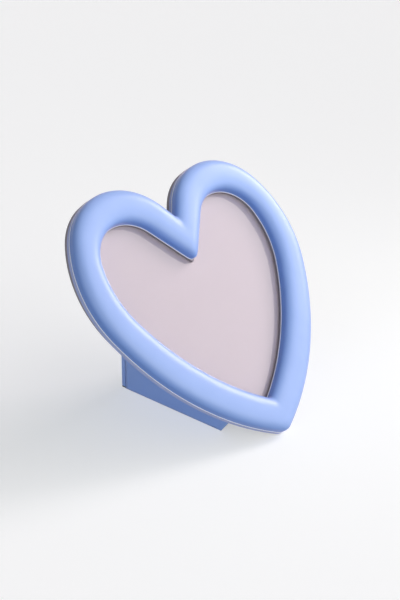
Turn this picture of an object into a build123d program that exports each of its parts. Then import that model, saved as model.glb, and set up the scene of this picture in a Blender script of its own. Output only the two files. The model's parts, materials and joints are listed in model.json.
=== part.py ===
from build123d import *
import math
import os

# Heart-shaped tabletop photo frame with a padded front, a magnetic back board and a folding easel.
#
# Everything is built lying flat first: X runs across the heart, Y runs from its tip to its lobes and Z is
# the direction the picture faces, with Z = 0 where the padding sits on its board. The finished frame is
# then leaned back and set down, so that the origin is the bottom centre of its box. All sizes are in mm.

# How it stands
LEAN_DEG = 40.0            # the picture leans this far back from upright
LEG_OPEN_DEG = 48.5        # angle between the open leg and the back board

# Outer heart, one half: a straight run out of the notch, then tangent arcs for lobe, shoulder, flank and tip
LOBE_Y = 152.5             # centre of the lobe arc
LOBE_R = 47.5
LOBE_OVERLAP = 0.7         # the two lobes' circles would pass the middle line by this
NOTCH_RUN = 7.2            # the straight run ends this far from the middle line
LOBE_END_DEG = 30.0
SHOULDER_R = 83.8
SHOULDER_END_DEG = -20.0
TIP_LOW = 0.97             # lowest point of the heart
TIP_R = 8.0                # rounding of the tip

# Heart-shaped opening, one half, set in from the outer heart by the width of the padded rim
RIM_LOBE = 17.9            # the lobe arcs differ this much in radius
RIM_LOBE_OUT = 0.4         # the opening's lobe arc has its centre further out
RIM_LOBE_DOWN = 6.5        # and lower
RIM_SHOULDER = 15.5        # the shoulder arcs differ this much in radius
RIM_TIP = 25.8             # from the heart's lowest point to the opening's
OPEN_START_DEG = 142.2
OPEN_END_DEG = 11.9
OPEN_SHOULDER_END_DEG = -23.7
OPEN_TIP_R = 3.0
OPEN_NOTCH_R = 1.5         # rounding of the front board's point at the opening's notch

# Padded front
PAD_HEIGHT = 9.5           # crown of the padding above its board
PAD_OUTER_ROUND = 6.0      # rounding of the outer shoulder
PAD_INNER_ROUND = 6.7      # rounding down to the opening's lip
SKIN = 0.9                 # padded faux-leather skin
CREASE_RUN = 15.0          # how far each half runs past the middle before it is trimmed there

# Boards behind the padding
PLY = 1.5                  # front board
SPACER = 1.5               # ring that makes the pocket for glazing and picture
BAND = 0.8                 # faux-leather band round the edge of both boards
POCKET_MARGIN = 5.0        # the pocket is this much wider than the opening, all round
POCKET_GAP = 0.4           # glazing and picture clear the pocket's wall
GLAZING = 0.8
PICTURE = 0.5

# Back board, which lifts off
BACK = 4.5
BACK_INSET = 2.2           # smaller than the padded front, all round
BACK_RISE = 2.7            # set higher, so that the padded tip meets the table first
BACK_TIP_R = 16.0          # its tip is blunter, for the same reason
LINING = 0.6
LINING_INSET = 3.2
DISC_R = 4.0               # magnets and the steel discs that they hold
MAGNET = 2.0
KEEPER = 0.6
DISC_INSET = 9.0           # discs sit this far inside the outer heart
DISC_DEGS = (95.0, 5.0, -30.0)

# Hinge of the leg
HINGE_DROP = 12.9          # the hinge axis is this far below the notch of the heart
HINGE_HALF = 38.0          # half the hinge's length
LEAF = 0.8
LEAF_WIDTH = 14.0
KNUCKLE_R = 2.0
KNUCKLE_GAP = 0.3          # between neighbouring knuckles, and from knuckles to boards
KNUCKLES = 7
PIN_R = 1.0
PIN_CLEARANCE = 0.05
PIN_END = 0.5              # the pin stands out this much at each end
RIVET_R = 1.1
RIVET_HEAD_R = 2.2
RIVET_HEAD = 0.6
RIVET_DEPTH = 2.0
RIVET_SHARES = (-0.82, -0.3, 0.3, 0.82)   # of half the hinge's length

# Leg
LEG_BOARD = 3.0
LEG_SKIN = 0.6
LEG_LINING = 0.4
LEG_FOOT_HALF = 31.0       # half width at the table
LEG_TOP_HALF = 45.0        # half width at the hinge: the sides flare like the heart's
LEG_ABOVE = 3.0            # the leg reaches this far past the hinge axis
LEG_CORNER_R = 6.0
FOOT = 1.0                 # rubber strip under the leg

# Soft side gussets between back board and leg
GUSSET = 0.8
GUSSET_INSET = 5.4         # at the back board the gussets stand this far inside the leg's foot
GUSSET_SPLAY_DEG = 3.0
GUSSET_GAP = 0.3           # to the leg and the table
GUSSET_TOP = 17.0          # the gussets start this far below the hinge axis
GUSSET_LOW_Y = 31.5        # lower end on the back board
GUSSET_NOSE_Y = 24.8       # the short front edge: its upper end
GUSSET_NOSE_Z = 12.5       # and how far that is behind the padding's base
GUSSET_TOE_Y = 21.5        # and its lower end, near the table
GUSSET_TOE_Z = 28.0

CUT = 400.0                # overrun of trimming blocks

# Faces of the layers, from front to back
PLY_BACK = -PLY
SPACER_BACK = PLY_BACK - SPACER
BACK_REAR = SPACER_BACK - BACK
LINING_REAR = BACK_REAR - LINING
HINGE_Z = LINING_REAR - KNUCKLE_R - KNUCKLE_GAP
LEG_FACE = KNUCKLE_R + KNUCKLE_GAP      # leg's front face behind the hinge axis, when folded
GUSSET_FRONT_HALF = LEG_FOOT_HALF - GUSSET_INSET



def on_circle(centre, radius, degrees):
    """Point on a circle, measured from +X."""
    turn = math.radians(degrees)
    return (centre[0] + radius * math.cos(turn), centre[1] + radius * math.sin(turn))


def flank_radius(lobe, lobe_r, lobe_end, shoulder_r, shoulder_end, tip_r, tip_low):
    """Radius of the flank arc that runs from the shoulder to a tip of the given rounding and height."""
    shoulder = on_circle(lobe, lobe_r - shoulder_r, lobe_end)
    across, up = on_circle(shoulder, shoulder_r, shoulder_end)
    up = up - tip_low - tip_r
    turn = math.radians(shoulder_end)
    reach = across * math.cos(turn) + up * math.sin(turn)
    return (across**2 + up**2 - tip_r**2) / (2 * (reach - tip_r))


# Outer heart, the blunter back board with the same flanks, and the opening
LOBE_X = LOBE_R - LOBE_OVERLAP
LOBE_START_DEG = math.degrees(math.acos((NOTCH_RUN - LOBE_X) / LOBE_R))
FLANK_R = flank_radius(
    (LOBE_X, LOBE_Y), LOBE_R, LOBE_END_DEG, SHOULDER_R, SHOULDER_END_DEG, TIP_R, TIP_LOW
)
LOBES = (LOBE_X, LOBE_Y, LOBE_R, LOBE_START_DEG, LOBE_END_DEG, SHOULDER_R, SHOULDER_END_DEG, FLANK_R)
OUTER = (*LOBES, TIP_R)
BACK_OUTER = (*LOBES, BACK_TIP_R)
OPEN_LOBE = (LOBE_X + RIM_LOBE_OUT, LOBE_Y - RIM_LOBE_DOWN)
OPEN_LOBE_R = LOBE_R - RIM_LOBE
OPEN_SHOULDER_R = SHOULDER_R - RIM_SHOULDER
OPEN_FLANK_R = flank_radius(
    OPEN_LOBE,
    OPEN_LOBE_R,
    OPEN_END_DEG,
    OPEN_SHOULDER_R,
    OPEN_SHOULDER_END_DEG,
    OPEN_TIP_R,
    TIP_LOW + RIM_TIP,
)
OPENING = (
    *OPEN_LOBE,
    OPEN_LOBE_R,
    OPEN_START_DEG,
    OPEN_END_DEG,
    OPEN_SHOULDER_R,
    OPEN_SHOULDER_END_DEG,
    OPEN_FLANK_R,
    OPEN_TIP_R,
)


def arc(centre, radius, start, end):
    """Arc between two directions seen from its centre."""
    middle = (start + end) / 2
    return ThreePointArc(*[on_circle(centre, radius, a) for a in (start, middle, end)])


def heart_arcs(heart):
    """Centres, radii and end directions of the four arcs of one half."""
    lobe_x, lobe_y, lobe_r, start, lobe_end, shoulder_r, shoulder_end, flank_r, tip_r = heart
    lobe = (lobe_x, lobe_y)
    shoulder = on_circle(lobe, lobe_r - shoulder_r, lobe_end)
    flank = on_circle(shoulder, shoulder_r - flank_r, shoulder_end)
    tip = (0, flank[1] - math.sqrt((flank_r - tip_r) ** 2 - flank[0] ** 2))
    tip_start = math.degrees(math.atan2(tip[1] - flank[1], tip[0] - flank[0]))
    return [
        (lobe, lobe_r, start, lobe_end),
        (shoulder, shoulder_r, lobe_end, shoulder_end),
        (flank, flank_r, shoulder_end, tip_start),
        (tip, tip_r, tip_start, -90),
    ]


def straight_run(heart, grow, across):
    """Points at the two ends of the straight run, from a line at a given place across to the lobe arc."""
    centre, radius, start, _ = heart_arcs(heart)[0]
    first = on_circle(centre, radius + grow, start)
    return (across, first[1] + (first[0] - across) / math.tan(math.radians(start))), first


def half_heart(heart, grow=0, past=0):
    """Face of the right half, grown outwards, and run past the middle line by a given length."""
    arcs = [(c, r + grow, a, b) for c, r, a, b in heart_arcs(heart)]
    edges = [arc(*one) for one in arcs]
    notch, first = straight_run(heart, grow, -past)
    centre, radius = arcs[-1][:2]
    low = (0, centre[1] - radius)
    corner = (-past, low[1])
    edges.append(Line(notch, first))
    edges.append(Line(corner, notch))
    if past:
        edges.append(Line(low, corner))
    return make_face(edges)


def both(half):
    """The half and its mirror image, joined."""
    return (half + mirror(half, Plane.YZ)).clean()


def heart_plate(heart, grow, low, high):
    """Flat heart-shaped plate between two heights."""
    plate = extrude(half_heart(heart, grow), amount=high - low)
    return Pos(0, 0, low) * both(plate)


def heart_ring(grow, opening_grow, low, high):
    return heart_plate(OUTER, grow, low, high) - heart_plate(OPENING, opening_grow, low, high)


def padding(inset):
    """Crowned ring: two rounded halves that meet in a crease at the notch."""
    height = PAD_HEIGHT - inset
    ring = half_heart(OUTER, -inset, CREASE_RUN) - half_heart(OPENING, inset, CREASE_RUN + CREASE_RUN)
    half = extrude(ring, amount=height)
    top = half.faces().sort_by(Axis.Z)[-1]
    outer_points = [on_circle(c, r - inset, (a + b) / 2) for c, r, a, b in heart_arcs(OUTER)]
    inner_points = [on_circle(c, r + inset, (a + b) / 2) for c, r, a, b in heart_arcs(OPENING)]

    def rim(points):
        tops = [Vector(x, y, height) for x, y in points]
        return [e for e in top.edges() if min(e.distance_to(p) for p in tops) < SKIN / 10]

    half = half.fillet(PAD_OUTER_ROUND - inset, rim(outer_points))
    top = half.faces().filter_by(Axis.Z).sort_by(Axis.Z)[-1]
    half = half.fillet(PAD_INNER_ROUND, rim(inner_points))
    half = half & Pos(CUT / 2, 0, 0) * Box(CUT, CUT + CUT, CUT)
    return half + mirror(half, Plane.YZ)


def disc_places():
    """Places of the magnets, on a line inside the outer heart."""
    arcs = heart_arcs(OUTER)
    right = [on_circle(c, r - DISC_INSET, a) for (c, r, _, _), a in zip(arcs, DISC_DEGS)]
    return right + [(-x, y) for x, y in right]


def drums(places, radius, low, high):
    """Equal discs that stand between two heights."""
    middle = (low + high) / 2
    return [Pos(x, y, middle) * Cylinder(radius, high - low) for x, y in places]


def without(body, tools):
    for tool in tools:
        body = body - tool
    return body


def front_parts():
    keepers = drums(disc_places(), DISC_R, SPACER_BACK, SPACER_BACK + KEEPER)
    foam = padding(SKIN)
    spacer = heart_ring(-BAND, POCKET_MARGIN, SPACER_BACK, PLY_BACK)
    band = heart_plate(OUTER, 0, SPACER_BACK, 0) - heart_plate(OUTER, -BAND, SPACER_BACK, 0)
    board = heart_ring(-BAND, 0, PLY_BACK, 0)
    point = Vector(*straight_run(OPENING, 0, 0)[0], 0)
    board = board.fillet(OPEN_NOTCH_R, board.edges().filter_by(Axis.Z).sort_by_distance(point)[:1])
    pocket = POCKET_MARGIN - POCKET_GAP
    glass_back = PLY_BACK - GLAZING
    return {
        "bezel_cover": padding(0) - foam,
        "bezel_foam": foam,
        "bezel_board": board,
        "edge_band": band,
        "spacer_ring": without(spacer, keepers),
        "keeper_discs": Compound(keepers),
        "glazing": heart_plate(OPENING, pocket, glass_back, PLY_BACK),
        "picture_card": heart_plate(OPENING, pocket, glass_back - PICTURE, glass_back),
    }


def knuckles(first):
    """Every second knuckle of the hinge, on an axis along X at the origin."""
    pitch = (HINGE_HALF + HINGE_HALF) / KNUCKLES
    roll = Rot(Y=90) * Cylinder(KNUCKLE_R, pitch - KNUCKLE_GAP)
    return [Pos(pitch * (i + 0.5) - HINGE_HALF, 0, 0) * roll for i in range(first, KNUCKLES, 2)]


def leaf(first, side):
    """One leaf of the hinge round the axis at the origin; side is +1 at the back board and -1 at the leg."""
    pitch = (HINGE_HALF + HINGE_HALF) / KNUCKLES
    plate = Box(HINGE_HALF + HINGE_HALF, LEAF_WIDTH, LEAF, align=(Align.CENTER, Align.MAX, Align.MAX))
    plate = Pos(0, 0, KNUCKLE_R + KNUCKLE_GAP) * plate
    if side < 0:
        plate = mirror(plate, Plane.XY)
    slot = Rot(Y=90) * Cylinder(KNUCKLE_R + KNUCKLE_GAP, pitch + KNUCKLE_GAP)
    plate = without(plate, [Pos(other.center().X, 0, 0) * slot for other in knuckles(1 - first)])
    bore = Rot(Y=90) * Cylinder(PIN_R + PIN_CLEARANCE, CUT)
    return (plate + knuckles(first)) - bore


def rivet_places():
    return [(share * HINGE_HALF, -LEAF_WIDTH / 2 - KNUCKLE_R / 2) for share in RIVET_SHARES]


def rivets(side):
    """Rivets through a leaf: a shank into the board and a flat head on the leaf."""
    face = KNUCKLE_R + KNUCKLE_GAP
    heads = drums(rivet_places(), RIVET_HEAD_R, face - LEAF - RIVET_HEAD, face - LEAF)
    shanks = drums(rivet_places(), RIVET_R, face - LEAF, face + RIVET_DEPTH)
    whole = [h + s for h, s in zip(heads, shanks)]
    if side < 0:
        whole = [mirror(one, Plane.XY) for one in whole]
    return whole


HINGE_Y = straight_run(OUTER, 0, 0)[0][1] - HINGE_DROP
AT_HINGE = Pos(0, HINGE_Y, HINGE_Z)
OPENED = AT_HINGE * Rot(X=LEG_OPEN_DEG)
STANDING = Rot(X=90 - LEAN_DEG)


def table_level():
    """Height of the table in the leaned frame: the rear edge of the rounded tip touches it."""
    return (STANDING * heart_plate(OUTER, 0, SPACER_BACK, 0)).bounding_box().min.Z


TABLE = table_level()


def above_table(clearance):
    """Block that holds all the space higher than the table plus a clearance, in the flat frame."""
    block = Box(CUT, CUT + CUT, CUT, align=(Align.CENTER, Align.CENTER, Align.MIN))
    return STANDING.inverse() * Pos(0, 0, TABLE + clearance) * block


def leg_length():
    """From the hinge axis to the table, along the open leg."""
    height = (STANDING * AT_HINGE).position.Z - TABLE
    return height / math.cos(math.radians(LEG_OPEN_DEG - LEAN_DEG))


def back_parts():
    board = Pos(0, BACK_RISE, 0) * heart_plate(BACK_OUTER, -BACK_INSET, BACK_REAR, SPACER_BACK)
    lining = Pos(0, BACK_RISE, 0) * heart_plate(BACK_OUTER, -LINING_INSET, LINING_REAR, BACK_REAR)
    magnets = drums(disc_places(), DISC_R, SPACER_BACK - MAGNET, SPACER_BACK)
    fixed = [AT_HINGE * one for one in rivets(1)]
    parts = {
        "back_board": without(without(board, magnets), fixed),
        "back_magnets": Compound(magnets),
        "back_lining": without(lining, fixed),
        "hinge_fixed_leaf": without(AT_HINGE * leaf(0, 1), fixed),
        "fixed_leaf_rivets": Compound(fixed),
    }
    parts["gusset_right"] = gusset()
    parts["gusset_left"] = mirror(parts["gusset_right"], Plane.YZ)
    return parts


def gusset():
    """Soft side wall: a sheet that fills the angle between back board and leg down to the table."""
    top = Vector(HINGE_Y - GUSSET_TOP, LINING_REAR)
    on_leg = (OPENED * Pos(0, -GUSSET_TOP, -LEG_FACE)).position
    past_leg = Vector(on_leg.Y, on_leg.Z) * 2 - top
    corners = [
        (top.X, top.Y),
        (GUSSET_LOW_Y, LINING_REAR),
        (GUSSET_NOSE_Y, -GUSSET_NOSE_Z),
        (GUSSET_TOE_Y, -GUSSET_TOE_Z),
        (GUSSET_TOE_Y, -CUT / 2),
        (past_leg.X, past_leg.Y),
    ]
    wall = make_face(Polyline(*[(-z, y) for y, z in corners], close=True))
    sheet = Pos(GUSSET_FRONT_HALF, 0, 0) * Rot(Y=90) * extrude(wall, amount=GUSSET)
    turn = Pos(GUSSET_FRONT_HALF, 0, LINING_REAR)
    sheet = turn * Rot(Y=-GUSSET_SPLAY_DEG) * turn.inverse() * sheet
    front_of_leg = Box(CUT, CUT, CUT, align=(Align.CENTER, Align.CENTER, Align.MIN))
    front_of_leg = Pos(0, 0, LEG_LINING + GUSSET_GAP - LEG_FACE) * front_of_leg
    behind_board = Box(CUT, CUT + CUT, CUT, align=(Align.CENTER, Align.CENTER, Align.MAX))
    behind_board = Pos(0, 0, LINING_REAR) * behind_board
    return sheet & OPENED * front_of_leg & above_table(GUSSET_GAP) & behind_board


def leg_prism(grow, near, far):
    """Leg outline, grown outwards, as a folded leg between two depths behind the hinge axis."""
    flare = (LEG_TOP_HALF - LEG_FOOT_HALF) / leg_length()
    low = HINGE_Y
    top = LEG_ABOVE + grow
    half_top = LEG_TOP_HALF + grow
    half_low = half_top - flare * (low + top)
    corners = [(-half_top, top), (half_top, top), (half_low, -low), (-half_low, -low)]
    outline = make_face(Polyline(*corners, close=True))
    corners = outline.vertices().group_by(Axis.Y)[-1]
    outline = fillet(corners, LEG_CORNER_R + grow)
    return Pos(0, 0, -far) * extrude(outline, amount=far - near)


def leg_parts():
    """The leg is drawn folded, with the hinge axis at the origin, then opened and cut off at the table."""
    near = LEG_FACE
    far = LEG_FACE + LEG_BOARD
    moving = rivets(-1)
    whole = leg_prism(LEG_SKIN, near, far + LEG_SKIN)
    board = leg_prism(0, near, far)
    lining = leg_prism(0, near - LEG_LINING, near)
    below_leaf = Box(CUT, CUT, CUT, align=(Align.CENTER, Align.MAX, Align.CENTER))
    lining = lining & Pos(0, LEG_SKIN - GUSSET_TOP, 0) * below_leaf
    off_table = above_table(FOOT)
    pin = Rot(Y=90) * Cylinder(PIN_R, HINGE_HALF + HINGE_HALF + PIN_END + PIN_END)
    return {
        "leg_board": OPENED * without(board, moving) & off_table,
        "leg_cover": OPENED * (whole - board) & off_table,
        "leg_lining": OPENED * lining & off_table,
        "hinge_leg_leaf": OPENED * without(leaf(1, -1), moving),
        "leg_leaf_rivets": Compound([OPENED * one for one in moving]),
        "hinge_pin": OPENED * pin,
        "foot_strip": (OPENED * whole & above_table(0)) - off_table,
    }


parts = {}
for group in (front_parts(), back_parts(), leg_parts()):
    parts.update(group)

stood = {name: STANDING * shape for name, shape in parts.items()}
box = Compound([s for shape in stood.values() for s in shape.solids()]).bounding_box()
down = Pos(-(box.min.X + box.max.X) / 2, -(box.min.Y + box.max.Y) / 2, -box.min.Z)

os.makedirs("parts", exist_ok=True)
for name, shape in stood.items():
    export_step(down * shape, f"parts/{name}.step")

axis = (down * STANDING * AT_HINGE).position
sharp_tip = (down * STANDING).position
print("box", box.size)
foot = (down * stood["foot_strip"]).bounding_box()
print("hinge axis at", axis, "flat origin at", sharp_tip)
print("foot strip from", foot.min, "to", foot.max)
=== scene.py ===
# %% [markdown]
# # A padded heart photo frame
# The real object is a tabletop frame: a heart-shaped board with a foam ring under soft faux leather, a
# blank card behind a clear sheet, a back board held by magnets, and a leg hinged to it with two soft
# side walls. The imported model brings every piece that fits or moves. This file dresses it: the padded
# front and the side walls are worked out here as surfaces. Every other piece gets its own finish and
# mostly rounded edges.

# %% Load the frame
import json
import math

import bmesh
import bpy
import numpy as np
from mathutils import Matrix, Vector


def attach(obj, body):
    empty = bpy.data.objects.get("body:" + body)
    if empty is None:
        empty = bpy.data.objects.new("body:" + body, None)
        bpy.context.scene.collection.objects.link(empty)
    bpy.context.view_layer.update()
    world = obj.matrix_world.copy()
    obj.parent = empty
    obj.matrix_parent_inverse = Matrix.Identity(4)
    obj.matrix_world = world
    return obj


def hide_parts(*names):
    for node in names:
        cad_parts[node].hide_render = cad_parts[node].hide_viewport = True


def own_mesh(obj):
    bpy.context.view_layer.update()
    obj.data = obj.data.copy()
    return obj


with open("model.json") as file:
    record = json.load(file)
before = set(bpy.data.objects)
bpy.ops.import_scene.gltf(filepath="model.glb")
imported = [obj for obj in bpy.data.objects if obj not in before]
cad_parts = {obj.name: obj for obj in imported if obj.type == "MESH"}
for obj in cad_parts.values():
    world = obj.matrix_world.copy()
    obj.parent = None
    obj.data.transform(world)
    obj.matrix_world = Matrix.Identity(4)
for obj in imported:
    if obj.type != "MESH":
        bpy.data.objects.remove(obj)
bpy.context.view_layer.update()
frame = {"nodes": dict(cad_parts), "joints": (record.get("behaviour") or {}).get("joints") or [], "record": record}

# %% [markdown]
# ## The heart's own axes
# The frame leans back, so nothing on it is square to the room. It is easier to draw the heart lying
# flat, in millimetres, and to stand the points up at the end. The slide that lifts the back board off
# runs straight back from the picture, so its axis gives the lean. The front board's face is the flat
# drawing's zero height, and the lowest point of the edge band is the heart's tip.

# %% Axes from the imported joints
MM = 0.001
joints = {j["name"]: j for j in frame["joints"]}
REAR = np.array(joints["back_lift"]["axis"], float)
AXES = np.array([[1, 0, 0], [0, -REAR[2], REAR[1]], -REAR])   # rows: across, up the heart, out of its face
LEAN = math.atan2(-REAR[2], REAR[1])


def span(node):
    """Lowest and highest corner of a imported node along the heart's own axes, in metres."""
    mesh = frame["nodes"][node].data
    points = np.zeros(len(mesh.vertices) * 3)
    mesh.vertices.foreach_get("co", points)
    points = points.reshape(-1, 3) @ AXES.T
    return points.min(0), points.max(0)


TIP_LOW = 0.97             # height of the heart's lowest point in the flat drawing
ORIGIN = AXES[1] * (span("edge_band")[0][1] - TIP_LOW * MM) + AXES[2] * span("bezel_board")[1][2]


def stand(points):
    """Flat drawing to the room: millimetres become metres, and each axis of the drawing takes its lean."""
    return ORIGIN + np.asarray(points, float) * MM @ AXES


def lay(point):
    """A point of the room, in metres, as one of the flat drawing."""
    return AXES @ (np.asarray(point, float) - ORIGIN) / MM


print("lean from upright, degrees:", round(math.degrees(LEAN), 1), "drawing's origin:", ORIGIN.round(5))

# %% [markdown]
# ## Camera
# The photograph looks down on the frame from its left. Its direction, distance and lens were solved
# from the outlines of the two lobes, the opening and the tip, so they are written here as real angles
# and sizes.

# %% Camera
CAMERA_TURN_DEG = 46.17    # how far round to the left of the frame's front
CAMERA_DOWN_DEG = 24.73    # how steeply it looks down
CAMERA_FAR = 745.7         # mm from the aim
CAMERA_LENS = 65.11        # mm, on Blender's 36 mm sensor
AIM_RIGHT = -57.6          # the aim, from the drawing's origin, in the picture's own directions
AIM_UP = 91.6

turn, down = math.radians(CAMERA_TURN_DEG), math.radians(CAMERA_DOWN_DEG)
ahead = np.array([math.sin(turn) * math.cos(down), math.cos(turn) * math.cos(down), -math.sin(down)])
right = np.array([math.cos(turn), -math.sin(turn), 0])
above = np.cross(right, ahead)
place = ORIGIN + MM * (AIM_RIGHT * right + AIM_UP * above - CAMERA_FAR * ahead)

camera = bpy.data.objects.new("camera", bpy.data.cameras.new("camera"))
bpy.context.scene.collection.objects.link(camera)
camera.data.lens = CAMERA_LENS
camera.matrix_world = np.block([[np.array([right, above, -ahead, place]).T], [0, 0, 0, 1]]).T.tolist()
bpy.context.scene.camera = camera
print("camera at", place.round(3))

# %% [markdown]
# ## The heart as arcs
# Half a heart is a straight run out of the notch and four arcs that touch: lobe, shoulder, flank and
# tip. The lobe's centre, three of the radii and the angles where the first two arcs end are given, in
# millimetres and degrees. The flank's radius isn't free: its circle has to touch both the shoulder's
# and the tip's.

# %% Outline of half a heart
# radii are those of lobe, shoulder and tip; run is where the straight run ends, from the middle line
OUTER = {"lobe": (46.8, 152.5), "radii": (47.5, 83.8, 8.0), "ends": (30.0, -20.0), "run": 7.2}
OPENING = {"lobe": (47.2, 146.0), "radii": (29.6, 68.3, 3.0), "ends": (11.9, -23.7), "run": 23.8}
OPENING_LOW = 26.77        # height of the opening's lowest point


def on_circle(centre, radius, angle):
    """Points on a circle by their angle from +X, in radians."""
    return np.stack([centre[0] + radius * np.cos(angle), centre[1] + radius * np.sin(angle)], -1)


def heart_arcs(heart, low):
    """Centres, radii and the angles at which one arc gives way to the next, for a tip of a given height.
    Each arc's centre lies on the line through the last centre and the point where the two arcs touch."""
    lobe_r, shoulder_r, tip_r = heart["radii"]
    lobe_end, shoulder_end = np.radians(heart["ends"])
    lobe = np.array(heart["lobe"])
    start = math.acos((heart["run"] - lobe[0]) / lobe_r)
    shoulder = on_circle(lobe, lobe_r - shoulder_r, lobe_end)
    corner = on_circle(shoulder, shoulder_r, shoulder_end) - [0, low + tip_r]
    facing = np.array([math.cos(shoulder_end), math.sin(shoulder_end)])
    flank_r = (corner @ corner - tip_r**2) / (2 * (corner @ facing - tip_r))
    flank = on_circle(shoulder, shoulder_r - flank_r, shoulder_end)
    tip = np.array([0, low + tip_r])
    tip_start = math.atan2(*(tip - flank)[::-1])
    radii = [lobe_r, shoulder_r, flank_r, tip_r]
    return [lobe, shoulder, flank, tip], radii, [start, lobe_end, shoulder_end, tip_start]


OUTER["arcs"] = heart_arcs(OUTER, TIP_LOW)
OPENING["arcs"] = heart_arcs(OPENING, OPENING_LOW)
print("flank radii, mm:", [round(float(heart["arcs"][1][2]), 1) for heart in (OUTER, OPENING)])

# %% [markdown]
# ## Points along the heart
# A point of the heart is given by the way its edge faces. The outer heart and the opening are cut by
# the same list of facing angles, so a line from one to the other always runs square across the padded
# rim.

# %% Points along the heart
STEP = 1.2                 # mm between stations along the outer heart
RUN_STATIONS = 24          # on the straight run out of the notch
FEWEST = 12                # stations on an arc, however short it is


def stations():
    """Places along half a heart: a share of the straight run, then the angle that the edge faces."""
    _, radii, (start, *others) = OUTER["arcs"]
    share = np.linspace(0, 1, RUN_STATIONS, endpoint=False)
    angles = [np.full(RUN_STATIONS, start)]
    for first, last, radius in zip((start, *others), (*others, -math.pi / 2), radii):
        count = max(FEWEST, round((first - last) * radius / STEP))
        angles.append(np.linspace(first, last, count, endpoint=False))
    angles = np.concatenate([*angles, [-math.pi / 2]])
    return np.concatenate([share, np.ones(len(angles) - RUN_STATIONS)]), angles


SHARE, ANGLE = stations()


def outline(heart):
    """Closed outline of a heart and the way its edge faces. Each angle picks its arc, and the point is
    that arc's centre plus its radius in the angle's direction. On the straight run the point slides in a
    line from the middle of the notch. The left half is the mirror image of the right one."""
    centres, radii, limits = heart["arcs"]
    angle = np.minimum(ANGLE, limits[0])
    which = np.searchsorted(-np.array(limits[1:]), -angle, side="right")
    facing = on_circle((0, 0), 1, angle)
    points = np.array(centres)[which] + np.array(radii)[which][:, None] * facing
    first = points[SHARE == 1][0]
    notch = np.array([0, first[1] + first[0] / math.tan(limits[0])])
    points = np.where(SHARE[:, None] < 1, notch + (first - notch) * SHARE[:, None], points)
    mirror = np.array([-1, 1])
    return (
        np.concatenate([points, (points * mirror)[-2:0:-1]]),
        np.concatenate([facing, (facing * mirror)[-2:0:-1]]),
    )


outer_line, outer_facing = outline(OUTER)
opening_line, opening_facing = outline(OPENING)
rim = np.linalg.norm(outer_line - opening_line, axis=1)
print("stations:", len(outer_line), "rim, mm:", rim[::60].round(1))

# %% [markdown]
# ## Making meshes
# Every new piece is a sheet of points: rows go along the piece and columns across it. Its faces only
# depend on the number of rows and columns and on which of the two directions closes on itself.

# %% Mesh from a sheet of points
def add_piece(name, points, closed=(False, False), flip=False):
    """A mesh from an array of rows x columns x 3, in the flat drawing. Each face joins a point with its
    neighbours in the next row and the next column, and the last row or column meets the first if closed."""
    rows, columns = points.shape[:2]
    index = np.arange(rows * columns).reshape(rows, columns)
    if closed[0]:
        index = np.concatenate([index, index[:1]])
    if closed[1]:
        index = np.concatenate([index, index[:, :1]], 1)
    corners = [index[:-1, :-1], index[:-1, 1:], index[1:, 1:], index[1:, :-1]]
    faces = np.stack(corners[::-1] if flip else corners, -1).reshape(-1, 4)
    mesh = bpy.data.meshes.new(name)
    mesh.from_pydata(stand(points).reshape(-1, 3), [], faces.tolist())
    mesh.polygons.foreach_set("use_smooth", np.ones(len(faces), bool))
    piece = bpy.data.objects.new(name, mesh)
    bpy.context.scene.collection.objects.link(piece)
    print(name, len(faces), "faces")
    return piece


# %% [markdown]
# ## The padded front
# Foam lies on the front board, and the faux leather is drawn over it and pressed down to a thin cut
# edge at both sides. Seen in section the rim is a pillow: short upright walls and a full crown between
# them. A superellipse gives each half of the crown with a single exponent.

# %% Section of the padding
CROWN = 9.5                # height of the padding above the board
CROWN_PLACE = 0.49         # share of the rim's width from the outer edge to the crown
OUTER_WALL = 3.0           # upright part at the outer edge
LIP_WALL = 2.6             # and at the opening
OUTER_POWER = 2.6          # 2 is an ellipse; more is fuller
LIP_POWER = 2.6
CUT_EDGE = 0.7             # thickness of the pressed edge of the skin
CUT_STEP = 0.3             # the edge stands this far out of the wall
CUT_COLUMNS = [(0, 0), (0, 0.5), (0, 0.9), (0.3, 1), (1, 1)]   # shares of that step and thickness
WALL_COLUMNS = (0.25, 0.6)                                     # shares of the wall above it
CROWN_COLUMNS = 22         # on each half of the crown


def pad_section(power):
    """One side of the section: the shares of the way in to the crown, and of the way up to it. Cosine
    and sine, raised to 2 / power, trace a superellipse."""
    turn = np.linspace(0, math.pi / 2, CROWN_COLUMNS)
    return 1 - np.cos(turn) ** (2 / power), np.sin(turn) ** (2 / power)


risen = float(np.interp(0.5, *pad_section(OUTER_POWER)))
print("halfway in, the crown has risen to", round(risen, 2), "of its height")

# %% [markdown]
# ## Sheet of the padding
# The section is carried along the heart. Its width is measured square to the two edges, so that the
# halves meet in a fold under the notch, as the leather does.

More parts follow.
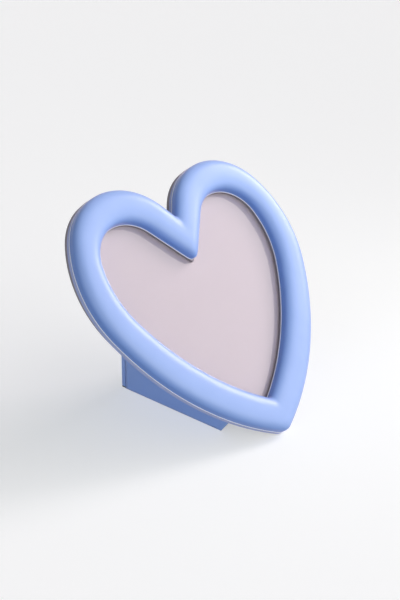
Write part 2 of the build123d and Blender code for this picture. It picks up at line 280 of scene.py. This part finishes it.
# %% Sheet of the padding
def padding():
    """Sheet of points of the padded ring. Each station has one line across the rim; a column is a share
    of that line and a height. Shares come from the distances square to the outer edge and to the
    opening."""
    across = outer_line - opening_line
    from_outer = (across * outer_facing).sum(1)
    from_inner = (across * opening_facing).sum(1)
    whole = from_outer * from_inner / (CROWN_PLACE * from_inner + (1 - CROWN_PLACE) * from_outer)
    columns, heights = [], []
    sides = (
        (from_outer, OUTER_WALL, CROWN_PLACE, OUTER_POWER, 1),
        (from_inner, LIP_WALL, 1 - CROWN_PLACE, LIP_POWER, -1),
    )
    for width, wall, place, power, side in sides:
        half = whole * place - CUT_STEP
        inward, upward = pad_section(power)
        edge = [(CUT_STEP * out, CUT_EDGE * up) for out, up in CUT_COLUMNS]
        edge += [(CUT_STEP, CUT_EDGE + (wall - CUT_EDGE) * up) for up in WALL_COLUMNS]
        shares = [np.full(len(half), inset) / width for inset, _ in edge]
        shares += [(CUT_STEP + half * k) / width for k in inward]
        tall = [height for _, height in edge] + list(wall + (CROWN - wall) * upward)
        columns.append(np.array(shares if side > 0 else [1 - s for s in shares[::-1]][1:]))
        heights.append(np.array(tall if side > 0 else tall[::-1][1:]))
    share = np.concatenate(columns).T
    height = np.concatenate(heights)
    plan = outer_line[:, None] - across[:, None] * share[..., None]
    return plan, np.broadcast_to(height, share.shape)


plan, height = padding()
print("padding, rows and columns:", height.shape)

# %% [markdown]
# ## Fold under the notch
# Foam fills the fold where the two lobes meet, so the leather bridges it softly. The points there are
# drawn towards their neighbours a few times over, as a relaxing cloth would be. The ring is then made,
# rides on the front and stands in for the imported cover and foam.

# %% Fold and padded ring
FOLD_REACH = 16.0          # mm to each side of the middle
FOLD_PASSES = 14
LIP_EASE = 0.45            # how much of the easing reaches the point of the opening


def eased(plan, height):
    """Softens the fold under the notch: each point near the middle moves towards the mean of its
    neighbours along the heart, more so the higher it lies, and a little at the opening's point, which is
    rounded."""
    near = np.clip(1 - np.abs(outer_line[:, 0]) / FOLD_REACH, 0, 1) * (outer_line[:, 1] > OUTER["lobe"][1])
    lift = (height / CROWN) ** 2
    lip = np.linspace(0, 1, height.shape[1]) ** 3 * LIP_EASE
    weight = (near[:, None] * np.maximum(lift, lip))[..., None]
    for _ in range(FOLD_PASSES):
        mean = (np.roll(plan, 1, 0) + np.roll(plan, -1, 0)) / 2
        plan = plan + weight * (mean - plan)
    return plan


plan = eased(plan, height)
pad = add_piece("padded_front", np.concatenate([plan, height[..., None]], -1), (True, True))
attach(pad, "frame")
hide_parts("bezel_cover", "bezel_foam")

# %% [markdown]
# ## Side walls of the stand
# Two soft walls of the same faux leather close the angle between back board and leg. They are cut flat
# and pulled tight when the leg opens. One edge follows the back board down and then steps back from it,
# the other one lies on the leg, and the lowest edge just clears the table. So the walls hang on the
# hinge's place and on the leg's open angle, which the joints give.

# %% Edges of the side walls
HINGE = lay(joints["leg_fold"]["pos_m"])
OPEN = math.radians(joints["leg_fold"]["range_deg"][1])
LINING_REAR = (span("back_lining")[0][2] - span("bezel_board")[1][2]) / MM
GUSSET_TOP = 17.0          # starts this far below the hinge
GUSSET_GAP = 0.3           # to the leg and the table
LEG_FACE = 1.9             # the leg's lined face behind the hinge axis
GUSSET_EDGE = [(31.5, 0.0), (24.8, 4.4)]   # up the heart, and behind the back lining
GUSSET_TOE = 21.5          # up the heart, where this edge comes down to the table


def leg_point(along):
    """Point on the leg's face, up the heart and out of it, at a distance below the hinge: the opened
    leg's face turned about the hinge axis."""
    down = np.array([-math.cos(OPEN), -math.sin(OPEN)])
    behind = np.array([math.sin(OPEN), -math.cos(OPEN)])
    return HINGE[1:] + along * down + (LEG_FACE - GUSSET_GAP) * behind


def evenly(corners, count):
    """Points spread evenly along a line with corners."""
    corners = np.asarray(corners, float)
    run = np.concatenate([[0], np.cumsum(np.linalg.norm(np.diff(corners, axis=0), axis=1))])
    at = np.linspace(0, run[-1], count)
    return np.stack([np.interp(at, run, corners[:, k]) for k in (0, 1)], -1)


def above_table(point):
    """Height over the table, in mm, of a point given up the heart and out of it."""
    return stand([0, *point])[2] / MM


print("hinge in the drawing, mm:", HINGE.round(1), "leg opens, degrees:", round(math.degrees(OPEN), 1))

# %% [markdown]
# ## Sheet of a side wall
# The sheet is ruled from the first edge to the second in even shares, so it flares with the leg's taper. The
# leather isn't drum tight, which a slight bulge shows. Its thickness is added to the outside.

# %% Side walls
GUSSET = 0.8               # thickness of the sheet
GUSSET_EDGE_IN = 0.4       # inside the leg's side edges
GUSSET_HALF = 25.6         # from the middle line at the back board
GUSSET_BULGE = 0.5         # in its middle
GUSSET_ROWS, GUSSET_COLUMNS = 60, 36
LEG_TOP_HALF, LEG_FOOT_HALF = 45.0, 31.0   # the leg's half width at the hinge and at the table


def gusset(side):
    """Ruled sheet between the edge on the back board and the edge on the leg, which follows the leg's
    tapered side. Its bulge is a sine hump in both directions."""
    top = HINGE[1] - GUSSET_TOP
    toe = (GUSSET_TOE, (above_table((GUSSET_TOE, LINING_REAR)) - GUSSET_GAP) / math.sin(LEAN))
    corners = [(up, LINING_REAR - back) for up, back in ((top, 0), *GUSSET_EDGE, toe)]
    front = evenly(corners, GUSSET_ROWS)
    high, lower = (above_table(leg_point(along)) for along in (0, 1))
    drop = (high - GUSSET_GAP) / (high - lower)
    rear = evenly([leg_point(GUSSET_TOP), leg_point(drop)], GUSSET_ROWS)
    share = np.linspace(0, 1, GUSSET_COLUMNS)
    sheet = front[:, None] + (rear - front)[:, None] * share[:, None]
    hump = np.sin(np.pi * np.linspace(0, 1, GUSSET_ROWS))[:, None] * np.sin(np.pi * share)
    along = np.linspace(GUSSET_TOP, drop, GUSSET_ROWS)
    leg_half = np.interp(along, (0, drop), (LEG_TOP_HALF, LEG_FOOT_HALF))
    rear_half = (leg_half - GUSSET_EDGE_IN)[:, None]
    out = GUSSET_HALF + (rear_half - GUSSET_HALF) * share + GUSSET_BULGE * hump
    return np.stack([side * out, *np.moveaxis(sheet, -1, 0)], -1)


walls = {}
for side, name in ((-1, "left"), (1, "right")):
    points = gusset(side)
    wall = add_piece(f"side_wall_{name}", points, flip=side > 0)
    solid = wall.modifiers.new("thickness", "SOLIDIFY")
    solid.thickness = GUSSET * MM
    solid.offset = 1
    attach(wall, "back_board")
    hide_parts(f"gusset_{name}")
    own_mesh(wall)
    walls[f"gusset_{name}"] = wall

# %% [markdown]
# ## The other pieces
# Boards, skins and metal parts have the right shape already, but their edges are as sharp as a
# drawing's. Each one is copied, its triangles are merged into whole faces, and a small bevel rounds its
# edges, which is what catches the light on a real one.

# %% Rounded copies
MERGE = 1e-6               # metres: corners as near as this are one
FLAT_DEG = 0.5             # triangles that turn less than this are one face
SHARP_DEG = 35             # edges that turn more than this are rounded
BEVEL_SEGMENTS = 2


def rounded(node, name, body, edge):
    """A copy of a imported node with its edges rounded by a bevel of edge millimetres."""
    mesh = bpy.data.meshes.new(name)
    work = bmesh.new()
    work.from_mesh(frame["nodes"][node].data)
    bmesh.ops.remove_doubles(work, verts=work.verts, dist=MERGE)
    flat = math.radians(FLAT_DEG)
    bmesh.ops.dissolve_limit(work, angle_limit=flat, verts=work.verts, edges=work.edges)
    work.to_mesh(mesh)
    work.free()
    mesh.materials.clear()
    mesh.polygons.foreach_set("use_smooth", np.full(len(mesh.polygons), edge > 0))
    mesh.set_sharp_from_angle(angle=math.radians(SHARP_DEG))
    piece = bpy.data.objects.new(name, mesh)
    bpy.context.scene.collection.objects.link(piece)
    if edge:
        bevel = piece.modifiers.new("edge", "BEVEL")
        bevel.width = edge * MM
        bevel.segments = BEVEL_SEGMENTS
        bevel.limit_method = "ANGLE"
        bevel.angle_limit = math.radians(SHARP_DEG)
        bevel.harden_normals = True
    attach(piece, body)
    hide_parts(node)
    return piece


def set_back(piece, distance):
    """Moves the mesh of a piece straight back from the front board, so that no two faces share a plane."""
    points = np.empty(len(piece.data.vertices) * 3)
    piece.data.vertices.foreach_get("co", points)
    piece.data.vertices.foreach_set("co", (points.reshape(-1, 3) + REAR * distance * MM).ravel())


CARD_BACK = 0.1            # mm from the clear sheet to the card behind it
EDGES = {                  # mm of rounding
    "edge_band": 0.25, "bezel_board": 0.1, "spacer_ring": 0.1, "keeper_discs": 0.1, "glazing": 0,
    "picture_card": 0, "back_board": 0.3, "back_magnets": 0.2, "back_lining": 0.2,
    "hinge_fixed_leaf": 0.15, "fixed_leaf_rivets": 0.25, "leg_board": 0.2, "leg_cover": 0.5,
    "leg_lining": 0.15, "hinge_leg_leaf": 0.15, "leg_leaf_rivets": 0.25, "hinge_pin": 0.2,
    "foot_strip": 0.3,
}
pieces = {"padded_front": pad, **walls}
for body, nodes in frame["record"]["behaviour"]["bodies"].items():
    for node in nodes:
        if node in EDGES:
            pieces[node] = rounded(node, f"{node}_finished", body, EDGES[node])
set_back(pieces["picture_card"], CARD_BACK)
print("pieces:", len(pieces))

# %% [markdown]
# ## Colours and nodes
# Colours are written as they look on a screen, in sRGB hex, and the shader wants them linear, so one
# function turns them. Another one adds a node with its settings and its links, which keeps each
# material short enough to read as a recipe.

# %% Helpers for materials
def linear(code):
    """An sRGB hex code as linear red, green, blue and alpha: the standard's straight foot and power
    curve."""
    value = np.array([int(code[i:i + 2], 16) for i in (1, 3, 5)]) / 255
    value = np.where(value <= 0.04045, value / 12.92, ((value + 0.055) / 1.055) ** 2.4)
    return (*value.tolist(), 1.0)


def add(tree, kind, sockets=None, **settings):
    """A new node with its settings. Each entry of sockets is a value, or another node's output to link."""
    node = tree.nodes.new(kind)
    for name, value in settings.items():
        setattr(node, name, value)
    for name, value in (sockets or {}).items():
        if isinstance(value, bpy.types.NodeSocket):
            tree.links.new(value, node.inputs[name])
        else:
            node.inputs[name].default_value = value
    return node


def new_material(name, **surface):
    """A material with one principled shader, whose plain values are set by name, and its object
    coordinates."""
    material = bpy.data.materials.new(name)
    material.use_nodes = True
    tree = material.node_tree
    shader = tree.nodes["Principled BSDF"]
    for socket, value in surface.items():
        shader.inputs[socket.replace("_", " ")].default_value = value
    return material, tree, shader, add(tree, "ShaderNodeTexCoord").outputs["Object"]


def blend_of(tree, share, first, second):
    """A colour between two, by a share that varies over the surface. Each is a hex code or an output."""
    first, second = (linear(end) if isinstance(end, str) else end for end in (first, second))
    return add(tree, "ShaderNodeMix", {0: share, 6: first, 7: second}, data_type="RGBA").outputs[2]


def per_mm(size):
    """Texture scale at which one cell or wave is size millimetres."""
    return 1 / (size * MM)


print("middle grey on a screen is", round(linear("#808080")[0], 3), "of white's light")

# %% [markdown]
# ## Faux leather
# The skin is polyurethane on a thin cloth, calendered with a fine grain and pressed over the foam by heat. It is
# soft to the eye: a broad, quiet highlight, a slight lilac bloom where it turns away, and a grain that only breaks
# up the shine. Small cells from a Voronoi pattern make the grain, and a slow noise the unevenness of the foam
# under it. On the padded ring, shade is also painted into the colour: a deeper blue on the low walls and at the
# lip.

# %% Faux leather
GRAIN = 0.7                # mm between grain cells; the real one is about 0.3, too fine to show
GRAIN_DEPTH = 0.02         # mm
FOAM_WAVE = 16.0           # mm, slow unevenness
FOAM_DEPTH = 0.2           # mm
BLOOM = "#f0b8ff"          # lilac of the skin where it turns away
SHINE_WANDER = (-0.05, 0.08)               # roughness in the grain's cells and on their rims
SHADE_FULL_BELOW, SHADE_NONE_ABOVE = 0.35, 0.95         # shares of the height: full painted shade below, none above


def faux_leather(name, light, deep, roughness, bloom, painted_shade=None):
    """Polyurethane skin: grain cells and slow waves as bump, and a little wander in colour and shine. A painted
    shade colour darkens the low walls and the lip, where the skin is drawn down to the board, by the mesh's share
    of the full height."""
    material, tree, shader, where = new_material(
        name, Roughness=roughness, IOR=1.46,
        Sheen_Weight=bloom, Sheen_Roughness=0.35, Sheen_Tint=linear(BLOOM),
    )
    wave = add(tree, "ShaderNodeTexNoise", {"Vector": where, "Scale": per_mm(FOAM_WAVE), "Detail": 2.0})
    cells = add(tree, "ShaderNodeTexVoronoi", {"Vector": where, "Scale": per_mm(GRAIN), "Randomness": 0.9})
    colour = blend_of(tree, wave.outputs["Fac"], light, deep)
    # Painted shade: below a share of the height the colour turns to a deeper blue, for the shade on the walls and
    # at the lip.
    if painted_shade:
        rise = add(tree, "ShaderNodeAttribute", attribute_name="rise")
        full = add(
            tree, "ShaderNodeMapRange",
            {"Value": rise.outputs["Fac"], "From Min": SHADE_FULL_BELOW, "From Max": SHADE_NONE_ABOVE},
            interpolation_type="SMOOTHSTEP",
        )
        colour = blend_of(tree, full.outputs["Result"], painted_shade, colour)
    tree.links.new(colour, shader.inputs["Base Color"])
    smooth, rough = (roughness + change for change in SHINE_WANDER)
    shine = add(
        tree, "ShaderNodeMapRange",
        {"Value": cells.outputs["Distance"], "To Min": smooth, "To Max": rough},
    )
    tree.links.new(shine.outputs["Result"], shader.inputs["Roughness"])
    slow = add(tree, "ShaderNodeBump", {"Height": wave.outputs["Fac"], "Distance": FOAM_DEPTH * MM})
    fine = add(
        tree, "ShaderNodeBump",
        {
            "Height": cells.outputs["Distance"], "Distance": GRAIN_DEPTH * MM,
            "Normal": slow.outputs["Normal"],
        },
    )
    tree.links.new(fine.outputs["Normal"], shader.inputs["Normal"])
    return material


# The padded skin's third colour is painted shade for its low walls and its lip.
padded_skin = faux_leather("faux_leather_padded", "#99b5e9", "#92afe5", 0.31, 0.3, painted_shade="#6c95dc")
# Painted light: the stand's skin is the padding's faux leather made lighter and bluer, to stand in for light on
# its shaded side.
stand_skin_painted_lighter = faux_leather("faux_leather_stand_painted_lighter", "#a9c8ff", "#a2c1fd", 0.5, 0.15)
edge_skin = faux_leather("faux_leather_edge_band", "#b6c1e8", "#a9b5e0", 0.5, 0.3)
print("skins:", [skin.name for skin in (padded_skin, stand_skin_painted_lighter, edge_skin)])

# %% [markdown]
# ## Cut edge of the skin
# Where the skin is pressed flat and cut, its pale backing cloth shows as a fine light line, round the
# outside and at the opening.

# %% Cut edge
FIBRE, FIBRE_DEPTH = 0.8, 0.05         # mm


def cut_edge():
    """Pale knitted backing seen on edge: matt, with fine fibres along the cut."""
    material, tree, shader, where = new_material("cut_edge_of_backing_cloth", Roughness=0.85)
    fibres = add(tree, "ShaderNodeTexNoise", {"Vector": where, "Scale": per_mm(FIBRE), "Detail": 3.0})
    tree.links.new(blend_of(tree, fibres.outputs["Fac"], "#fbfcff", "#ebf0fa"), shader.inputs["Base Color"])
    bump = add(tree, "ShaderNodeBump", {"Height": fibres.outputs["Fac"], "Distance": FIBRE_DEPTH * MM})
    tree.links.new(bump.outputs["Normal"], shader.inputs["Normal"])
    return material


raw_edge = cut_edge()
print("cut edge:", raw_edge.name)

# %% [markdown]
# ## Boards and card
# Both boards are pressed from grey pulp, so their cut edges are darker than their faces, in thin layers
# that run along the board. The card behind the clear sheet is uncoated, with the slight tooth of good
# paper.

# %% Boards and card
LAYER_STRETCH = 0.12                   # the pattern's scale along the board, as a share of that across
LAYER_DEPTH = 0.08                     # mm
MOTTLE, TOOTH, TOOTH_DEPTH = 9, 0.4, 0.008     # mm, of the card


def pulp_board(name, light, deep, layer):
    """Pressed board: thin layers square to its face, as a noise stretched along the board."""
    material, tree, shader, where = new_material(name, Roughness=0.9)
    along = add(
        tree, "ShaderNodeMapping",
        {
            "Vector": where, "Rotation": (LEAN - math.pi / 2, 0, 0),
            "Scale": (LAYER_STRETCH, LAYER_STRETCH, 1),
        },
    )
    layers = add(
        tree, "ShaderNodeTexNoise",
        {"Vector": along.outputs["Vector"], "Scale": per_mm(layer), "Detail": 3.0},
    )
    tree.links.new(blend_of(tree, layers.outputs["Fac"], light, deep), shader.inputs["Base Color"])
    bump = add(tree, "ShaderNodeBump", {"Height": layers.outputs["Fac"], "Distance": LAYER_DEPTH * MM})
    tree.links.new(bump.outputs["Normal"], shader.inputs["Normal"])
    return material


def uncoated_card():
    """Blank tinted paper: a faint mottle in the colour and a shallow tooth."""
    material, tree, shader, where = new_material("uncoated_tinted_card", Roughness=0.8)
    mottle = add(tree, "ShaderNodeTexNoise", {"Vector": where, "Scale": per_mm(MOTTLE), "Detail": 4.0})
    tooth = add(tree, "ShaderNodeTexNoise", {"Vector": where, "Scale": per_mm(TOOTH), "Detail": 2.0})
    tree.links.new(blend_of(tree, mottle.outputs["Fac"], "#b9adb2", "#b4a8ae"), shader.inputs["Base Color"])
    bump = add(tree, "ShaderNodeBump", {"Height": tooth.outputs["Fac"], "Distance": TOOTH_DEPTH * MM})
    tree.links.new(bump.outputs["Normal"], shader.inputs["Normal"])
    return material


front_board = pulp_board("pressed_board_dark", "#9a9298", "#777077", 0.5)
back_board = pulp_board("pressed_board_grey", "#b9b0b4", "#958c90", 0.7)
card = uncoated_card()
print("boards and card:", [sheet.name for sheet in (front_board, back_board, card)])

# %% [markdown]
# ## Clear sheet
# The window is a thin sheet of clear polyester. It hardly bends light, and it must not shade the card,
# so rays that ask for a lamp, or carry light from one matt surface to another, pass straight through
# it.

# %% Clear sheet
RIPPLE, RIPPLE_DEPTH = 60, 0.01        # mm


def clear_sheet():
    """Clear polyester: a smooth transmitting shader, and a transparent one for shadow and diffuse rays."""
    material, tree, shader, where = new_material(
        "clear_polyester_sheet",
        Roughness=0.04, IOR=1.45, Transmission_Weight=1.0, Base_Color=linear("#fdfdff"),
    )
    ripple = add(tree, "ShaderNodeTexNoise", {"Vector": where, "Scale": per_mm(RIPPLE), "Detail": 0.0})
    bump = add(tree, "ShaderNodeBump", {"Height": ripple.outputs["Fac"], "Distance": RIPPLE_DEPTH * MM})
    tree.links.new(bump.outputs["Normal"], shader.inputs["Normal"])
    rays = add(tree, "ShaderNodeLightPath")
    passing = add(
        tree, "ShaderNodeMath",
        {0: rays.outputs["Is Shadow Ray"], 1: rays.outputs["Is Diffuse Ray"]}, use_clamp=True,
    )
    clear = add(tree, "ShaderNodeBsdfTransparent")
    mix = add(
        tree, "ShaderNodeMixShader",
        {0: passing.outputs[0], 1: shader.outputs["BSDF"], 2: clear.outputs["BSDF"]},
    )
    tree.links.new(mix.outputs["Shader"], tree.nodes["Material Output"].inputs["Surface"])
    return material


window = clear_sheet()
print("window:", window.name)

# %% [markdown]
# ## Metal, cloth and rubber
# The hinge, its rivets and the small discs are nickel-plated steel: warm grey, bright, with rub marks.
# The magnets are plated too, but darker. The leg is lined with a fine twill, and it stands on a strip
# of soft rubber.

# %% Metal, cloth and rubber
RUB, RUB_STRETCH = 0.5, 0.1            # mm across a mark, and its pattern's scale along it as a share
RUB_WANDER = (-0.08, 0.12)             # roughness, from the marks to the plain plating
RIB, RIB_DEPTH = 1.6, 0.1              # mm, of the twill; real ribs are half as wide, too fine to show
WAVE_PHASE = 17                        # radians in a unit across the ribs, at scale 1
PORE, PORE_DEPTH = 0.6, 0.05           # mm, of the rubber


def plated_steel(name, light, deep, roughness):
    """Plating on stamped steel: a metal whose shine wanders with rub marks stretched along the hinge."""
    material, tree, shader, where = new_material(name, Metallic=1.0, Roughness=roughness)
    along = add(tree, "ShaderNodeMapping", {"Vector": where, "Scale": (RUB_STRETCH, 1, 1)})
    marks = add(
        tree, "ShaderNodeTexNoise",
        {"Vector": along.outputs["Vector"], "Scale": per_mm(RUB), "Detail": 4.0},
    )
    tree.links.new(blend_of(tree, marks.outputs["Fac"], light, deep), shader.inputs["Base Color"])
    smooth, rough = (roughness + change for change in RUB_WANDER)
    shine = add(
        tree, "ShaderNodeMapRange", {"Value": marks.outputs["Fac"], "To Min": smooth, "To Max": rough}
    )
    tree.links.new(shine.outputs["Result"], shader.inputs["Roughness"])
    return material


def twill():
    """Fine lining cloth: diagonal ribs. A diagonal wave's phase, in radians, is 10 times the sum of the
    three coordinates, and that sum grows by 1.7 in a step of 1 across the ribs."""
    material, tree, shader, where = new_material("twill_lining", Roughness=0.9, Sheen_Weight=0.3)
    ribs = add(
        tree, "ShaderNodeTexWave",
        {"Vector": where, "Scale": per_mm(RIB) * 2 * math.pi / WAVE_PHASE, "Distortion": 0.6},
        bands_direction="DIAGONAL",
    )
    tree.links.new(blend_of(tree, ribs.outputs["Fac"], "#8fa9dc", "#7b95c9"), shader.inputs["Base Color"])
    bump = add(tree, "ShaderNodeBump", {"Height": ribs.outputs["Fac"], "Distance": RIB_DEPTH * MM})
    tree.links.new(bump.outputs["Normal"], shader.inputs["Normal"])
    return material


def soft_rubber():
    """Moulded rubber: nearly black, matt, with dust in its pores."""
    material, tree, shader, where = new_material("moulded_rubber", Roughness=0.75, IOR=1.52)
    pores = add(tree, "ShaderNodeTexNoise", {"Vector": where, "Scale": per_mm(PORE), "Detail": 3.0})
    tree.links.new(blend_of(tree, pores.outputs["Fac"], "#3c3d42", "#55565c"), shader.inputs["Base Color"])
    bump = add(tree, "ShaderNodeBump", {"Height": pores.outputs["Fac"], "Distance": PORE_DEPTH * MM})
    tree.links.new(bump.outputs["Normal"], shader.inputs["Normal"])
    return material


nickel = plated_steel("nickel_plated_steel", "#cfcac2", "#b9b4ad", 0.28)
magnet = plated_steel("nickel_plated_magnet", "#a9a9ac", "#919195", 0.3)
lining = twill()
rubber = soft_rubber()
print("small parts:", [finish.name for finish in (nickel, magnet, lining, rubber)])

# %% [markdown]
# ## Every piece gets its material
# The finishes are listed once, by piece. The padded ring has two: its lowest faces, where the skin was cut, show
# the backing cloth. Each of its points also keeps how high it lies, as a share of the full height, which the
# skin's recipe uses to paint shade on the low walls and the lip.

# %% Every piece gets its material
FINISHES = {
    "padded_front": padded_skin, "edge_band": edge_skin, "bezel_board": front_board,
    "spacer_ring": front_board, "keeper_discs": nickel, "glazing": window, "picture_card": card,
    "back_board": back_board, "back_magnets": magnet, "back_lining": stand_skin_painted_lighter,
    "hinge_fixed_leaf": nickel, "fixed_leaf_rivets": nickel, "leg_board": back_board,
    "leg_cover": stand_skin_painted_lighter, "leg_lining": lining, "hinge_leg_leaf": nickel, "leg_leaf_rivets": nickel,
    "hinge_pin": nickel, "foot_strip": rubber, "gusset_left": stand_skin_painted_lighter, "gusset_right": stand_skin_painted_lighter,
}
for node, material in FINISHES.items():
    pieces[node].data.materials.append(material)
pad.data.materials.append(raw_edge)
rise = pad.data.attributes.new("rise", "FLOAT", "POINT")
rise.data.foreach_set("value", (height / CROWN).astype(np.float32).ravel())
columns = plan.shape[1]
face_column = np.arange(len(pad.data.polygons)) % columns
low = (height[0] <= CUT_EDGE) & (np.roll(height[0], -1) <= CUT_EDGE)
pad.data.polygons.foreach_set("material_index", low[face_column].astype(np.int32))
print("materials:", sorted({m.name for p in pieces.values() for m in p.data.materials}))

# %% [markdown]
# ## Floor
# Small things are often pictured on a sheet of matt acrylic with a lamp under it, which gives a pale
# ground that still takes a soft shadow. The glow of this one is there for rays of the camera, of
# mirrors and of glass alone. Other rays find a plain light grey, so the side of the frame that is
# turned away stays in shade.

# %% Floor
FLOOR_HALF = 6.0               # m from the middle to each edge
FLOOR_DIFFUSE = "#c8cbc9"      # what the floor sends back of the light on it
FLOOR_GLOW = 0.49              # what shines through it


def seen(tree, unseen, level):
    """A value that is level for rays of the camera, of mirrors and of glass, and unseen for all others."""
    rays = add(tree, "ShaderNodeLightPath")
    total = rays.outputs["Is Camera Ray"]
    for other in ("Is Glossy Ray", "Is Transmission Ray"):
        total = add(tree, "ShaderNodeMath", {0: total, 1: rays.outputs[other]}, use_clamp=True).outputs[0]
    value = add(tree, "ShaderNodeMapRange", {"Value": total, "To Min": unseen, "To Max": level})
    return value.outputs["Result"]


def lit_from_below():
    """A matt sheet: its glow for rays that look at it, and its plain grey for those that light others."""
    material, tree, shader, _ = new_material(
        "matt_acrylic_floor", Roughness=1.0, Specular_IOR_Level=0.0, Base_Color=linear(FLOOR_DIFFUSE)
    )
    tree.links.new(seen(tree, 0.0, FLOOR_GLOW), shader.inputs["Emission Strength"])
    shader.inputs["Emission Color"].default_value = (1, 1, 1, 1)
    return material


floor = bpy.data.objects.new("floor", bpy.data.meshes.new("floor"))
corners = [(x * FLOOR_HALF, y * FLOOR_HALF, 0) for x, y in ((-1, -1), (1, -1), (1, 1), (-1, 1))]
floor.data.from_pydata(corners, [], [(0, 1, 2, 3)])
floor.data.materials.append(lit_from_below())
bpy.context.scene.collection.objects.link(floor)
print("floor, m:", 2 * FLOOR_HALF, "square, of", floor.data.materials[0].name)

# %% [markdown]
# ## Light
# Large soft boxes far away are lamps without distance: each has a direction and an angle across, and
# the wider the angle, the softer the shadow. Most of the light comes from the right and the front, and
# a cooler one fills in from the left. A round lamp close by adds light that fades across the frame. The
# room gives next to none, but looks pale to the camera, to mirrors and to glass.

# %% Light
NEAR_ACROSS = 0.25                     # m
NEAR_WATTS = 0.40
NEAR_PLACE, NEAR_AIM = (0.26, -0.14, 0.37), (0.02, 0, 0.09)    # m
ROOM_LIGHT, ROOM_SEEN = 0.06, 0.89     # 1 is white


def sun(name, towards, level, spread_deg, colour="#ffffff"):
    """A lamp without distance. It shines from the direction towards it, and level is how bright it makes
    white paper that faces it."""
    lamp = bpy.data.objects.new(name, bpy.data.lights.new(name, "SUN"))
    lamp.data.energy = level * math.pi
    lamp.data.angle = math.radians(spread_deg)
    lamp.data.color = linear(colour)[:3]
    lamp.rotation_euler = Vector(towards).to_track_quat("Z", "Y").to_euler()
    bpy.context.scene.collection.objects.link(lamp)


sun("right", (0.87, -0.19, 0.46), 0.46, 24, "#fff2f7")
sun("front_right", (0.60, -0.60, 0.52), 0.37, 60, "#fff8fa")
sun("front", (-0.05, -0.95, 0.26), 0.38, 50)
sun("behind", (0.55, 0.70, 0.45), 0.05, 70)
sun("left", (-0.92, -0.20, 0.34), 0.27, 50, "#dce8ff")
near = bpy.data.objects.new("near", bpy.data.lights.new("near", "AREA"))
near.data.shape = "DISK"
near.data.size = NEAR_ACROSS
near.data.energy = NEAR_WATTS
near.visible_glossy = near.visible_transmission = False
near.location = NEAR_PLACE
near.rotation_euler = (near.location - Vector(NEAR_AIM)).to_track_quat("Z", "Y").to_euler()
bpy.context.scene.collection.objects.link(near)
world = bpy.data.worlds.new("studio")
bpy.context.scene.world = world
world.use_nodes = True
background = world.node_tree.nodes["Background"]
background.inputs["Color"].default_value = (1, 1, 1, 1)
world.node_tree.links.new(seen(world.node_tree, ROOM_LIGHT, ROOM_SEEN), background.inputs["Strength"])
bpy.context.scene.view_settings.view_transform = "Standard"
